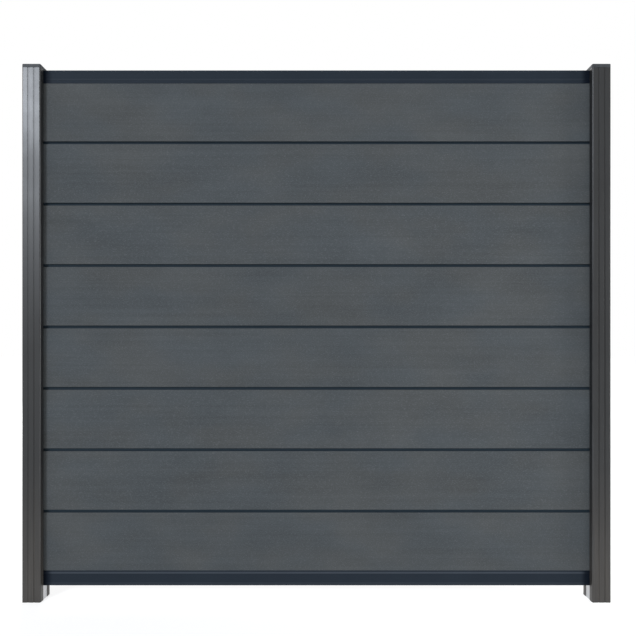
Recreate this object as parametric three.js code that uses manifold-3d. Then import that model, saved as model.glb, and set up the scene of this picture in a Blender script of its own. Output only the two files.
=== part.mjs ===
// A slot-in privacy fence panel: eight hollow composite boards with tongue and groove lie on edge in the
// side slots of two aluminium posts, between a bottom rail and a top rail, and a cap closes each post.
//
// Millimetres, +Z up. X runs along the panel, the front faces -Y, and the origin is on the ground in the
// middle of the panel.

import * as THREE from "three";
import { mergeVertices } from "three/addons/utils/BufferGeometryUtils.js";
import Module from "manifold-3d";

const wasm = await Module();
wasm.setup();

// ---- Driving dimensions ----

// Boards
const BOARD_COUNT = 8;
const BOARD_LENGTH = 1800;
const BOARD_COVER = 200; // height that one board adds to the wall
const BOARD_THICKNESS = 20;
const SHADOW_GAP = 8.5; // open height of the joint between two boards, seen on their faces
const GROOVE_DEPTH = 10;
const TONGUE_THICKNESS = 8;
const TONGUE_PLAY = 0.75; // beside the tongue in the groove, on each side
const TONGUE_CHAMFER = 1.5;
const BOARD_EDGE_CHAMFER = 1.5;
const CHAMBER_COUNT = 5; // hollow chambers along the inside of a board
const BOARD_WALL = 4.8; // material between a face and its chambers, and above and below them
const CHAMBER_WEB = 5; // material between two chambers
const CHAMBER_RADIUS = 2.5;

// Posts
const POST_SIZE = 60; // square
const POST_CORNER_RADIUS = 4;
const POST_WALL = 2;
const SLOT_DEPTH = 18;
const SLOT_SIDE_ROOM = 2; // between a board's face and the wall of its slot
const FLUTE_SPACING = 19; // between the centres of the two flutes on a post's face
const FLUTE_WIDTH = 6;
const FLUTE_DEPTH = 1.3;

// Rails
const GROUND_GAP = 47; // open height under the bottom rail
const RAIL_WALL = 2;
const RAIL_LAP = 3; // height of a rail's lips over the faces of the board
const BOTTOM_RAIL_HEIGHT = 48;
const BOTTOM_RAIL_BEAD = 7; // plain strip along the top of the lips
const BOTTOM_RAIL_FLANGE = 13.5; // plain strip along the foot of the rail
const TOP_RAIL_HEIGHT = 42;
const TOP_RAIL_FLANGE = 8; // plain strip along the top of the rail
const RAIL_RECESS = 0.8; // how far the band between the strips lies back
const RAIL_EDGE_CHAMFER = 0.6;

// Caps
const CAP_HEIGHT = 12;
const CAP_BEVEL = 1.6;
const CAP_PLUG_LENGTH = 20;
const CAP_PLUG_WALL = 2;
const CAP_PLUG_RADIUS = 1;
const CAP_HOLLOW = 3; // how far the plug's hollow goes up into the plate

// Slot fittings
const SEAL_WIDTH = 6;
const SEAL_INSET = 1; // from the mouth of the slot
const SUPPORT_INSET = 1; // from the mouth of the slot
const SUPPORT_WALL = 2;

// Fineness of round corners, and how far a cut runs past what it cuts
const CORNER_SEGMENTS = 3; // to each quarter
const END_CUT = 1;

// Clearances
const END_ENGAGEMENT = 12; // length of a board or a rail inside a slot, at each end
const FIT = 0.3; // between two pieces, one inside or beside the other
const SEAT = 0.3; // between a piece and what it stands on

// ---- Sizes worked out from them ----

const SLOT_WIDTH = BOARD_THICKNESS + 2 * SLOT_SIDE_ROOM;
const RAIL_DEPTH = SLOT_WIDTH - 2 * FIT;
const RAIL_CHANNEL_WIDTH = BOARD_THICKNESS + 2 * FIT;
const FACE_HEIGHT = BOARD_COVER - SHADOW_GAP;
const TONGUE_HEIGHT = SHADOW_GAP + GROOVE_DEPTH - SEAT;
const GROOVE_WIDTH = TONGUE_THICKNESS + 2 * TONGUE_PLAY;
const CHAMBER_DEPTH = BOARD_THICKNESS - 2 * BOARD_WALL;

const OPENING = BOARD_LENGTH - 2 * END_ENGAGEMENT; // between the two posts
const POST_X = (OPENING + POST_SIZE) / 2;

const BOARDS_BASE = GROUND_GAP + BOTTOM_RAIL_HEIGHT - RAIL_LAP;
const BOARDS_SHOULDER = BOARDS_BASE + (BOARD_COUNT - 1) * BOARD_COVER + FACE_HEIGHT;
const TOP_RAIL_BASE = BOARDS_SHOULDER - RAIL_LAP;
const TOP_RAIL_SEAT = RAIL_LAP + TONGUE_HEIGHT + SEAT; // above the rail's lower edge
const POST_HEIGHT = TOP_RAIL_BASE + TOP_RAIL_HEIGHT; // the posts are cut level with the top rail

// ---- Materials ----

const powderCoat = () => new THREE.MeshStandardMaterial({ color: 0x4a4b4d, roughness: 0.42, metalness: 0.3 });
const railCoat = () => new THREE.MeshStandardMaterial({ color: 0x2c2e34, roughness: 0.5, metalness: 0.3 });
const composite = () => new THREE.MeshStandardMaterial({ color: 0x505556, roughness: 0.85, metalness: 0 });
const capPlastic = () => new THREE.MeshStandardMaterial({ color: 0x4c4f52, roughness: 0.6, metalness: 0 });
const sealRubber = () => new THREE.MeshStandardMaterial({ color: 0x1b1d20, roughness: 0.8, metalness: 0 });
const bareAluminium = () => new THREE.MeshStandardMaterial({ color: 0xb0b0b4, roughness: 0.45, metalness: 0.9 });

// ---- Outlines ----

/** A closed outline through points, given as [u, v] pairs. */
function outline(points) {
  return new THREE.Shape(points.map(([u, v]) => new THREE.Vector2(u, v)));
}

/** An outline that is mirrored about v's axis: the points of its right half, from bottom to top. */
function mirrored(rightHalf) {
  const leftHalf = rightHalf.filter(([u]) => u > 0).map(([u, v]) => [-u, v]);
  return outline([...rightHalf, ...leftHalf.reverse()]);
}

/** A rectangle around (u, v) with rounded corners. */
function roundedRectangle(u, v, width, height, radius) {
  const r = Math.min(radius, width / 2, height / 2);
  const right = u + width / 2;
  const left = u - width / 2;
  const top = v + height / 2;
  const bottom = v - height / 2;
  const shape = new THREE.Shape();
  shape.moveTo(left + r, bottom);
  shape.lineTo(right - r, bottom);
  shape.absarc(right - r, bottom + r, r, -Math.PI / 2, 0);
  shape.lineTo(right, top - r);
  shape.absarc(right - r, top - r, r, 0, Math.PI / 2);
  shape.lineTo(left + r, top);
  shape.absarc(left + r, top - r, r, Math.PI / 2, Math.PI);
  shape.lineTo(left, bottom + r);
  shape.absarc(left + r, bottom + r, r, Math.PI, (3 * Math.PI) / 2);
  return shape;
}

/** A rectangle between two corners. */
function rectangle(left, bottom, right, top) {
  return outline([
    [left, bottom],
    [right, bottom],
    [right, top],
    [left, top],
  ]);
}

// ---- Solids ----

/** The solid of an outline drawn up from z = bottom to z = top. */
function prism(shape, bottom, top) {
  const settings = { depth: top - bottom, bevelEnabled: false, curveSegments: CORNER_SEGMENTS };
  const geometry = new THREE.ExtrudeGeometry(shape, settings);
  geometry.translate(0, 0, bottom);
  return solidOf(geometry);
}

/** An extrusion from z = 0 up to height: the outside of a section, with its chambers open at both ends. */
function upright({ outside, chambers }, height) {
  const cuts = chambers.map((chamber) => prism(chamber, -END_CUT, height + END_CUT));
  return cuts.reduce((rest, cut) => rest.subtract(cut), prism(outside, 0, height));
}

/** The same extrusion with its section in the panel's Y and Z, centred along X. */
function lengthwise(section, length) {
  const drawn = geometryOf(upright(section, length));
  drawn.translate(0, 0, -length / 2);
  const drawnToPanel = new THREE.Matrix4().set(0, 0, 1, 0, 1, 0, 0, 0, 0, 1, 0, 0, 0, 0, 0, 1);
  return drawn.applyMatrix4(drawnToPanel);
}

/** A closed geometry as a solid that can be joined and cut. */
function solidOf(geometry) {
  const bare = geometry.clone();
  bare.deleteAttribute("normal");
  bare.deleteAttribute("uv");
  const merged = mergeVertices(bare, 1e-3);
  return new wasm.Manifold(
    new wasm.Mesh({
      numProp: 3,
      vertProperties: new Float32Array(merged.attributes.position.array),
      triVerts: new Uint32Array(merged.index.array),
    }),
  );
}

/** A joined or cut solid as a geometry. */
function geometryOf(solid) {
  const mesh = solid.getMesh();
  const geometry = new THREE.BufferGeometry();
  geometry.setAttribute("position", new THREE.BufferAttribute(mesh.vertProperties, 3));
  geometry.setIndex(new THREE.BufferAttribute(mesh.triVerts, 1));
  const faceted = geometry.toNonIndexed();
  faceted.computeVertexNormals();
  return faceted;
}

/** A named piece of the panel. */
function piece(name, geometry, material, x = 0, y = 0, z = 0) {
  const mesh = new THREE.Mesh(geometry, material);
  mesh.name = name;
  mesh.position.set(x, y, z);
  return mesh;
}

// ---- Boards ----

/** A board's section, with v = 0 at its lower edge: a groove below, the faces, the shoulders and a tongue above. */
function boardSection() {
  const half = BOARD_THICKNESS / 2;
  const grooveHalf = GROOVE_WIDTH / 2;
  const tongueHalf = TONGUE_THICKNESS / 2;
  const tongueTop = FACE_HEIGHT + TONGUE_HEIGHT;
  const outside = mirrored([
    [grooveHalf, GROOVE_DEPTH],
    [grooveHalf, 0],
    [half - BOARD_EDGE_CHAMFER, 0],
    [half, BOARD_EDGE_CHAMFER],
    [half, FACE_HEIGHT - BOARD_EDGE_CHAMFER],
    [half - BOARD_EDGE_CHAMFER, FACE_HEIGHT],
    [tongueHalf, FACE_HEIGHT],
    [tongueHalf, tongueTop - TONGUE_CHAMFER],
    [tongueHalf - TONGUE_CHAMFER, tongueTop],
  ]);
  const lowest = GROOVE_DEPTH + BOARD_WALL;
  const webs = (CHAMBER_COUNT - 1) * CHAMBER_WEB;
  const chamberHeight = (FACE_HEIGHT - BOARD_WALL - lowest - webs) / CHAMBER_COUNT;
  const chambers = Array.from({ length: CHAMBER_COUNT }, (_, i) => {
    const middle = lowest + chamberHeight / 2 + i * (chamberHeight + CHAMBER_WEB);
    return roundedRectangle(0, middle, CHAMBER_DEPTH, chamberHeight, CHAMBER_RADIUS);
  });
  return { outside, chambers };
}

/** The stack of boards, each standing on the tongue of the one under it. */
function boards() {
  const group = new THREE.Group();
  const section = boardSection();
  for (let i = 0; i < BOARD_COUNT; i += 1) {
    const base = BOARDS_BASE + i * BOARD_COVER;
    group.add(piece(`board_${i + 1}`, lengthwise(section, BOARD_LENGTH), composite(), 0, 0, base));
  }
  return group;
}

// ---- Posts ----

/** The points of one side of the post, from corner to corner, cut by notches of { at, width, depth }. */
function notchedSide(notches) {
  const out = -POST_SIZE / 2;
  return notches.flatMap(({ at, width, depth }) => [
    [at - width / 2, out],
    [at - width / 2, out + depth],
    [at + width / 2, out + depth],
    [at + width / 2, out],
  ]);
}

/** The round corner at the left end of a side. */
function sideCorner() {
  const centre = POST_CORNER_RADIUS - POST_SIZE / 2;
  const quarter = (i) => Math.PI + (i / CORNER_SEGMENTS) * (Math.PI / 2);
  const turns = Array.from({ length: CORNER_SEGMENTS + 1 }, (_, i) => quarter(i));
  return turns.map((a) => [
    centre + POST_CORNER_RADIUS * Math.cos(a),
    centre + POST_CORNER_RADIUS * Math.sin(a),
  ]);
}

/** A post's section: flutes at the front and back, a slot at each side, and five chambers inside. */
function postSection() {
  const half = POST_SIZE / 2;
  const flutes = [-1, 1].map((side) => ({
    at: (side * FLUTE_SPACING) / 2,
    width: FLUTE_WIDTH,
    depth: FLUTE_DEPTH,
  }));
  const slot = [{ at: 0, width: SLOT_WIDTH, depth: SLOT_DEPTH }];
  const centre = new THREE.Vector2();
  const points = [flutes, slot, flutes, slot].flatMap((notches, side) =>
    [...sideCorner(), ...notchedSide(notches)].map(([u, v]) =>
      new THREE.Vector2(u, v).rotateAround(centre, (side * Math.PI) / 2),
    ),
  );
  const floor = half - SLOT_DEPTH; // of the slot, from the post's axis
  const inside = half - POST_WALL - FLUTE_DEPTH; // of the front and back walls
  const lipInside = half - POST_WALL;
  const lipStart = SLOT_WIDTH / 2 + POST_WALL;
  const core = floor - POST_WALL;
  const chambers = [
    rectangle(-core, -inside, core, inside),
    rectangle(floor, lipStart, lipInside, inside),
    rectangle(floor, -inside, lipInside, -lipStart),
    rectangle(-lipInside, lipStart, -floor, inside),
    rectangle(-lipInside, -inside, -floor, -lipStart),
  ];
  return { outside: new THREE.Shape(points), chambers };
}

/** A cap: a bevelled plate over the post, and a hollow plug that goes down into the post's middle chamber. */
function capGeometry() {
  const plug = {
    width: 2 * (POST_SIZE / 2 - SLOT_DEPTH - POST_WALL - FIT),
    depth: 2 * (POST_SIZE / 2 - POST_WALL - FLUTE_DEPTH - FIT),
  };
  const bore = { width: plug.width - 2 * CAP_PLUG_WALL, depth: plug.depth - 2 * CAP_PLUG_WALL };
  const outside = roundedRectangle(0, 0, plug.width, plug.depth, CAP_PLUG_RADIUS);
  const inside = roundedRectangle(0, 0, bore.width, bore.depth, CAP_PLUG_RADIUS);
  const foot = -CAP_PLUG_LENGTH;
  const ceiling = SEAT + CAP_HOLLOW;
  return geometryOf(
    solidOf(capPlate())
      .add(prism(outside, foot, ceiling))
      .subtract(prism(inside, foot - END_CUT, ceiling)),
  );
}

/** The cap's plate: straight sides below, a bevel around its top. */
function capPlate() {
  const rings = [
    { inset: 0, z: SEAT },
    { inset: 0, z: CAP_HEIGHT - CAP_BEVEL },
    { inset: CAP_BEVEL, z: CAP_HEIGHT },
  ];
  const position = [];
  for (const { inset, z } of rings) {
    const size = POST_SIZE - 2 * inset;
    const ring = roundedRectangle(0, 0, size, size, POST_CORNER_RADIUS).getPoints(CORNER_SEGMENTS);
    ring.pop(); // the outline's last point repeats its first
    ring.forEach((p) => position.push(p.x, p.y, z));
  }
  const count = position.length / 3 / rings.length;
  const index = [];
  for (let i = 1; i < count - 1; i += 1) {
    const top = (rings.length - 1) * count;
    index.push(0, i + 1, i);
    index.push(top, top + i, top + i + 1);
  }
  for (let ring = 0; ring < rings.length - 1; ring += 1) {
    for (let i = 0; i < count; i += 1) {
      const here = ring * count + i;
      const next = ring * count + ((i + 1) % count);
      index.push(here, next, next + count);
      index.push(here, next + count, here + count);
    }
  }
  const plate = new THREE.BufferGeometry();
  plate.setAttribute("position", new THREE.Float32BufferAttribute(position, 3));
  plate.setIndex(index);
  return plate;
}

/** A seal strip, which fills the room between the boards' faces and one wall of the slot. */
function sealGeometry() {
  const low = GROUND_GAP + BOTTOM_RAIL_HEIGHT + FIT;
  const high = TOP_RAIL_BASE - FIT;
  const strip = new THREE.BoxGeometry(SEAL_WIDTH, SLOT_SIDE_ROOM - 2 * FIT, high - low);
  strip.translate(0, 0, (low + high) / 2);
  return strip;
}

/** A short upright tube, which stands in the slot under the end of the bottom rail. */
function supportGeometry() {
  const across = SLOT_DEPTH - SUPPORT_INSET - FIT;
  const outside = rectangle(-across / 2, -RAIL_DEPTH / 2, across / 2, RAIL_DEPTH / 2);
  const bore = [across / 2 - SUPPORT_WALL, RAIL_DEPTH / 2 - SUPPORT_WALL];
  const chambers = [rectangle(-bore[0], -bore[1], bore[0], bore[1])];
  return geometryOf(upright({ outside, chambers }, GROUND_GAP - SEAT));
}

/** A post with its cap, and what sits in its inner slot. side is -1 on the left and 1 on the right. */
function post(name, side) {
  const group = new THREE.Group();
  group.position.x = side * POST_X;
  group.add(piece(`${name}_post`, geometryOf(upright(postSection(), POST_HEIGHT)), powderCoat()));
  group.add(piece(`${name}_post_cap`, capGeometry(), capPlastic(), 0, 0, POST_HEIGHT));

  const mouth = -side * (POST_SIZE / 2);
  const sealX = mouth + side * (SEAL_INSET + SEAL_WIDTH / 2);
  const sealY = (BOARD_THICKNESS + SLOT_SIDE_ROOM) / 2;
  group.add(piece(`${name}_front_seal`, sealGeometry(), sealRubber(), sealX, -sealY));
  group.add(piece(`${name}_rear_seal`, sealGeometry(), sealRubber(), sealX, sealY));

  const supportX = mouth + (side * (SLOT_DEPTH + SUPPORT_INSET - FIT)) / 2;
  group.add(piece(`${name}_rail_support`, supportGeometry(), bareAluminium(), supportX));
  return group;
}

// ---- Rails ----

/** The bottom rail's section, with v = 0 at its foot: a closed chamber below, and a channel for the board above. */
function bottomRailSection() {
  const half = RAIL_DEPTH / 2;
  const band = half - RAIL_RECESS;
  const channel = RAIL_CHANNEL_WIDTH / 2;
  const floor = BOTTOM_RAIL_HEIGHT - RAIL_LAP - SEAT;
  const bead = BOTTOM_RAIL_HEIGHT - BOTTOM_RAIL_BEAD;
  const outside = mirrored([
    [half - RAIL_EDGE_CHAMFER, 0],
    [half, RAIL_EDGE_CHAMFER],
    [half, BOTTOM_RAIL_FLANGE - RAIL_RECESS],
    [band, BOTTOM_RAIL_FLANGE],
    [band, bead - RAIL_RECESS],
    [half, bead],
    [half, BOTTOM_RAIL_HEIGHT - RAIL_EDGE_CHAMFER],
    [half - RAIL_EDGE_CHAMFER, BOTTOM_RAIL_HEIGHT],
    [channel, BOTTOM_RAIL_HEIGHT],
    [channel, floor],
  ]);
  const inside = band - RAIL_WALL;
  return { outside, chambers: [rectangle(-inside, RAIL_WALL, inside, floor - RAIL_WALL)] };
}

/** The top rail's section, with v = 0 at its lower edge: a channel over the board, and a closed chamber above. */
function topRailSection() {
  const half = RAIL_DEPTH / 2;
  const band = half - RAIL_RECESS;
  const channel = RAIL_CHANNEL_WIDTH / 2;
  const flange = TOP_RAIL_HEIGHT - TOP_RAIL_FLANGE;
  const outside = mirrored([
    [channel, TOP_RAIL_SEAT],
    [channel, 0],
    [band, 0],
    [band, flange],
    [half, flange + RAIL_RECESS],
    [half, TOP_RAIL_HEIGHT - RAIL_EDGE_CHAMFER],
    [half - RAIL_EDGE_CHAMFER, TOP_RAIL_HEIGHT],
  ]);
  const inside = band - RAIL_WALL;
  const chamber = rectangle(-inside, TOP_RAIL_SEAT + RAIL_WALL, inside, TOP_RAIL_HEIGHT - RAIL_WALL);
  return { outside, chambers: [chamber] };
}

/** The two rails, each as long as a board. */
function rails() {
  const group = new THREE.Group();
  const bottom = lengthwise(bottomRailSection(), BOARD_LENGTH);
  const top = lengthwise(topRailSection(), BOARD_LENGTH);
  group.add(piece("bottom_rail", bottom, railCoat(), 0, 0, GROUND_GAP));
  group.add(piece("top_rail", top, railCoat(), 0, 0, TOP_RAIL_BASE));
  return group;
}

// ---- The panel ----

const panel = new THREE.Group();
panel.add(post("left", -1));
panel.add(post("right", 1));
panel.add(rails());
panel.add(boards());

export default panel;
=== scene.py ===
"""Looks for a slot-in garden privacy screen.

Eight hollow wood-composite boards lie on edge in the side slots of two fluted aluminium posts, between a
bottom rail and a top rail, and a moulded cap closes each post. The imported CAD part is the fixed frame: each
piece made here stands for one CAD node, in its place, with the finer form and the finish of the real one.

Blender works in metres, +Z up. X runs along the screen and its front faces -Y. Sizes in the classes are in
millimetres, and MM turns them to metres.
"""

import logging
import math
from abc import ABC, abstractmethod
from collections.abc import Callable, Sequence
from dataclasses import dataclass
from enum import Enum
from typing import Any, ClassVar

import bmesh
import bpy
from bpy.types import Material, Node, NodeSocket, NodeTree, Object
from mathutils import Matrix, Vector


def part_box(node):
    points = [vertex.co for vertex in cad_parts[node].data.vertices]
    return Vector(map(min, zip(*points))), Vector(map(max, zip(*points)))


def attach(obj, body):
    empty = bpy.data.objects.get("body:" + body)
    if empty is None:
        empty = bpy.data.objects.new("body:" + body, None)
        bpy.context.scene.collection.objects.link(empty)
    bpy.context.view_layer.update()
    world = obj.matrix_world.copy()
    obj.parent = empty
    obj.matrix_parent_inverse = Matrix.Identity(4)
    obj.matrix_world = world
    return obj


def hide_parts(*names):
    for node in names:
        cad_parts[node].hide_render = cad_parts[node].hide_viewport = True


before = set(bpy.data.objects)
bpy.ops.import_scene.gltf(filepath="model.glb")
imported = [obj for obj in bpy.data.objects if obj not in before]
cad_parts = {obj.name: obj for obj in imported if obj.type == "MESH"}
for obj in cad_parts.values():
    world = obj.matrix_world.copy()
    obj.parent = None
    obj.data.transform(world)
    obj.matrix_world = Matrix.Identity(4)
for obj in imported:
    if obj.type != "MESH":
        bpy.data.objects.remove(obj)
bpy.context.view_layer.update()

MM = 0.001
BOARDS = 8
ARRIS = "arris"  # mesh attribute: 1 on a rounded outer edge, -1 in a rounded inner corner, 0 on the flats
PROUD_HIGHLIGHT = "rubbed_and_highlit"  # mesh attribute: how far the strips of a rail that stand proud get a painted highlight, from 0 to 1
FLUTE_FLOOR = "flute_floor"  # mesh attribute: 1 on the floor of a flute, which gets painted shade and a duller gloss, and 0 elsewhere
BRUSHED = "brushed"  # mesh attribute: 1 on the faces of a board that are brushed, 0 where it is as extruded
STRAIGHT = math.pi - 0.02  # a corner that opens wider than this counts as part of a straight line
WIDE_RADIUS = 2.0  # millimetres; a corner with a larger radius gets twice the facets
QUARTER_FACETS = 4  # facets to a quarter turn of a small radius
SHARP_EDGE = math.radians(35)

log = logging.getLogger("privacy_screen")


# ---- Sections and solids ----


class Along(Enum):
    """The direction in which an extrusion runs: up a post, or along the screen."""

    HEIGHT = "height"
    LENGTH = "length"

    def place(self, u: float, v: float, w: float) -> Vector:
        """Puts the point (u, v) of a section, in millimetres, at w along the extrusion."""
        return Vector((u, v, w)) * MM if self is Along.HEIGHT else Vector((w, u, v)) * MM

    def span(self, low: Vector, high: Vector) -> tuple[float, float]:
        """Gives the start and end of a piece with these corners: from its foot, or from its middle."""
        half = (high.x - low.x) / 2
        return (0.0, high.z - low.z) if self is Along.HEIGHT else (-half, half)

    def stretched(self, across: float, along: float) -> tuple[float, float, float]:
        """Gives the scale of a pattern on X, Y and Z, from its size across and along, in millimetres."""
        wide, long = 1 / (across * MM), 1 / (along * MM)
        return (wide, wide, long) if self is Along.HEIGHT else (long, wide, wide)


class Side(Enum):
    """The end of the screen at which a post stands."""

    LEFT = "left"
    RIGHT = "right"


class Face(Enum):
    """The face of the boards that a seal lies on."""

    FRONT = "front"
    REAR = "rear"


@dataclass(frozen=True)
class Corner:
    """A corner of a section, in millimetres, and the radius that rounds it."""

    u: float
    v: float
    radius: float = 0.0


@dataclass(frozen=True)
class Section:
    """The cross-section of an extrusion: its outside, and the chambers inside it."""

    outside: Sequence[Corner]
    chambers: Sequence[Sequence[Corner]] = ()


def rectangle(left: float, bottom: float, right: float, top: float, radius: float) -> list[Corner]:
    """Gives the corners of a rectangle between two points, all with one radius."""
    return [Corner(u, v, radius) for u, v in ((left, bottom), (right, bottom), (right, top), (left, top))]


def mirrored(right_half: Sequence[Corner]) -> list[Corner]:
    """Closes an outline from the corners of its right half, listed from its foot to its head."""
    return [*right_half, *(Corner(-c.u, c.v, c.radius) for c in reversed(right_half) if c.u > 0)]


def rounded(corners: Sequence[Corner], steps: int = 0) -> list[tuple[float, float, float]]:
    """Rounds the corners of a closed outline.

    Args:
        corners: The corners in order.
        steps: Facets to each round corner, or 0 to choose them by its radius.

    Returns:
        The outline's points, each as u, v and how far it lies on a rounded edge (the arris attribute).
    """
    points = [Vector((c.u, c.v)) for c in corners]
    area = sum(points[i - 1].cross(p) for i, p in enumerate(points))
    outline: list[tuple[float, float, float]] = []
    for i, (corner, here) in enumerate(zip(corners, points)):
        before, after = points[i - 1] - here, points[(i + 1) % len(points)] - here
        opening = before.angle(after)
        if corner.radius <= 0 or opening > STRAIGHT:
            outline.append((here.x, here.y, 0.0))
            continue
        reach = min(corner.radius / math.tan(opening / 2), 0.49 * before.length, 0.49 * after.length)
        radius = reach * math.tan(opening / 2)
        middle = (before.normalized() + after.normalized()).normalized()
        centre = here + middle * (radius / math.sin(opening / 2))
        start = here + before.normalized() * reach - centre
        end = here + after.normalized() * reach - centre
        sweep = math.atan2(start.cross(end), start.dot(end))
        outward = 1.0 if area * after.cross(before) > 0 else -1.0
        quarter = 2 * QUARTER_FACETS if radius > WIDE_RADIUS else QUARTER_FACETS
        facets = steps or max(2, math.ceil(abs(sweep) / (math.pi / 2) * quarter))
        for step in range(facets + 1):
            turn = sweep * step / facets
            u = centre.x + start.x * math.cos(turn) - start.y * math.sin(turn)
            v = centre.y + start.x * math.sin(turn) + start.y * math.cos(turn)
            outline.append((u, v, outward * math.sin(math.pi * step / facets)))
    return outline


def piece_from(form: bmesh.types.BMesh, name: str) -> Object:
    """Turns a finished form into a piece with flat faces and smooth round edges.

    Args:
        form: The form, in the frame's metres. It is freed.
        name: The piece's name.

    Returns:
        The piece, in the scene.
    """
    bmesh.ops.recalc_face_normals(form, faces=form.faces[:])
    mesh = bpy.data.meshes.new(name)
    form.to_mesh(mesh)
    form.free()
    mesh.shade_smooth()
    mesh.set_sharp_from_angle(angle=SHARP_EDGE)
    piece = bpy.data.objects.new(name, mesh)
    bpy.context.scene.collection.objects.link(piece)
    flat_faces = piece.modifiers.new("flat_faces", "WEIGHTED_NORMAL")
    flat_faces.weight = 100
    flat_faces.keep_sharp = True
    return piece


def extruded(
    name: str, section: Section, along: Along, span: tuple[float, float], origin: Vector
) -> Object:
    """Extrudes a section, with its chambers open at both ends.

    Args:
        name: The piece's name.
        section: Its cross-section.
        along: The direction in which it runs.
        span: Where it starts and ends along that direction, in metres from the origin.
        origin: The section's origin in the frame, in metres.

    Returns:
        The piece, in the scene.
    """
    form = bmesh.new()
    arris = form.verts.layers.float.new(ARRIS)
    rims: tuple[list[bmesh.types.BMEdge], ...] = ([], [])
    for corners in (section.outside, *section.chambers):
        outline = rounded(corners)
        rings = []
        for w in span:
            ring = []
            for u, v, worn_and_painted_light in outline:
                vertex = form.verts.new(origin + along.place(u, v, w / MM))
                vertex[arris] = worn_and_painted_light
                ring.append(vertex)
            rings.append(ring)
        for i in range(len(outline)):
            form.faces.new((rings[0][i - 1], rings[0][i], rings[1][i], rings[1][i - 1]))
        for ring, rim in zip(rings, rims):
            rim.extend(form.edges.get((ring[i - 1], ring[i])) for i in range(len(ring)))
    for rim in rims:
        bmesh.ops.triangle_fill(form, use_beauty=True, edges=rim)
    return piece_from(form, name)


def mark(piece: Object, attribute: str, amount: Callable[[Vector], float]) -> None:
    """Marks parts of a piece for its material.

    Args:
        piece: The piece.
        attribute: The mesh attribute to add.
        amount: Gives the mark, from 0 to 1, of the point at a place.
    """
    marks = piece.data.attributes.new(attribute, "FLOAT", "POINT")
    marks.data.foreach_set("value", [float(amount(vertex.co)) for vertex in piece.data.vertices])


# ---- Colours and nodes ----

MULTIPLY = {"operation": "MULTIPLY"}
MULTIPLY_ADD = {"operation": "MULTIPLY_ADD"}
MAXIMUM = {"operation": "MAXIMUM"}
SCALE = {"operation": "SCALE"}
CLAMP = {"use_clamp": True}
SMOOTH = {"interpolation_type": "SMOOTHSTEP"}
COLOURS = {"data_type": "RGBA"}
MAIN_OUTPUT = {"ShaderNodeMix": 2, "ShaderNodeAttribute": 2}  # the output in use, where it isn't the first


def linear(hex_colour: str) -> tuple[float, float, float, float]:
    """Turns an sRGB hex colour to the linear values that Blender works with."""
    parts = [int(hex_colour.lstrip("#")[i : i + 2], 16) / 255 for i in (0, 2, 4)]
    red, green, blue = (p / 12.92 if p <= 0.04045 else ((p + 0.055) / 1.055) ** 2.4 for p in parts)
    return red, green, blue, 1.0


def add_node(
    tree: NodeTree,
    kind: str,
    settings: dict[str, Any] | None = None,
    sockets: dict[str | int, Any] | None = None,
) -> Node:
    """Adds a shader node with its settings, values and links.

    Args:
        tree: The tree that gets the node.
        kind: Blender's name for the node's type, without the word ShaderNode.
        settings: Its properties by name.
        sockets: For each input, by name or number, a value, the output or the node that feeds it.

    Returns:
        The new node.
    """
    node = tree.nodes.new(f"ShaderNode{kind}")
    for name, value in (settings or {}).items():
        setattr(node, name, value)
    for key, value in (sockets or {}).items():
        if isinstance(value, Node):
            value = value.outputs[MAIN_OUTPUT.get(value.bl_idname, 0)]
        if isinstance(value, NodeSocket):
            tree.links.new(value, node.inputs[key])
        else:
            node.inputs[key].default_value = value
    return node


# ---- Finishes ----


@dataclass(frozen=True)
class Finish(ABC):
    """A real material with its surface, as a procedural material and the record's slot that it fills."""

    name: str
    slot: str

    @abstractmethod
    def surface(self, tree: NodeTree) -> Node:
        """Builds the surface.

        Args:
            tree: The material's node tree, still empty.

        Returns:
            The shader of the finished surface.
        """

    def material(self) -> Material:
        """Gives the finish's material, built once and shared by its pieces.

        Returns:
            The material.
        """
        made = bpy.data.materials.get(self.name)
        if made is None:
            made = bpy.data.materials.new(self.name)
            made.use_nodes = True
            made.node_tree.nodes.clear()
            shader = self.surface(made.node_tree)
            add_node(made.node_tree, "OutputMaterial", sockets={"Surface": shader})
        return made

    def dress(self, piece: Object) -> None:
        """Puts the finish on a piece that has no material yet."""
        piece.data.materials.append(self.material())


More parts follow.
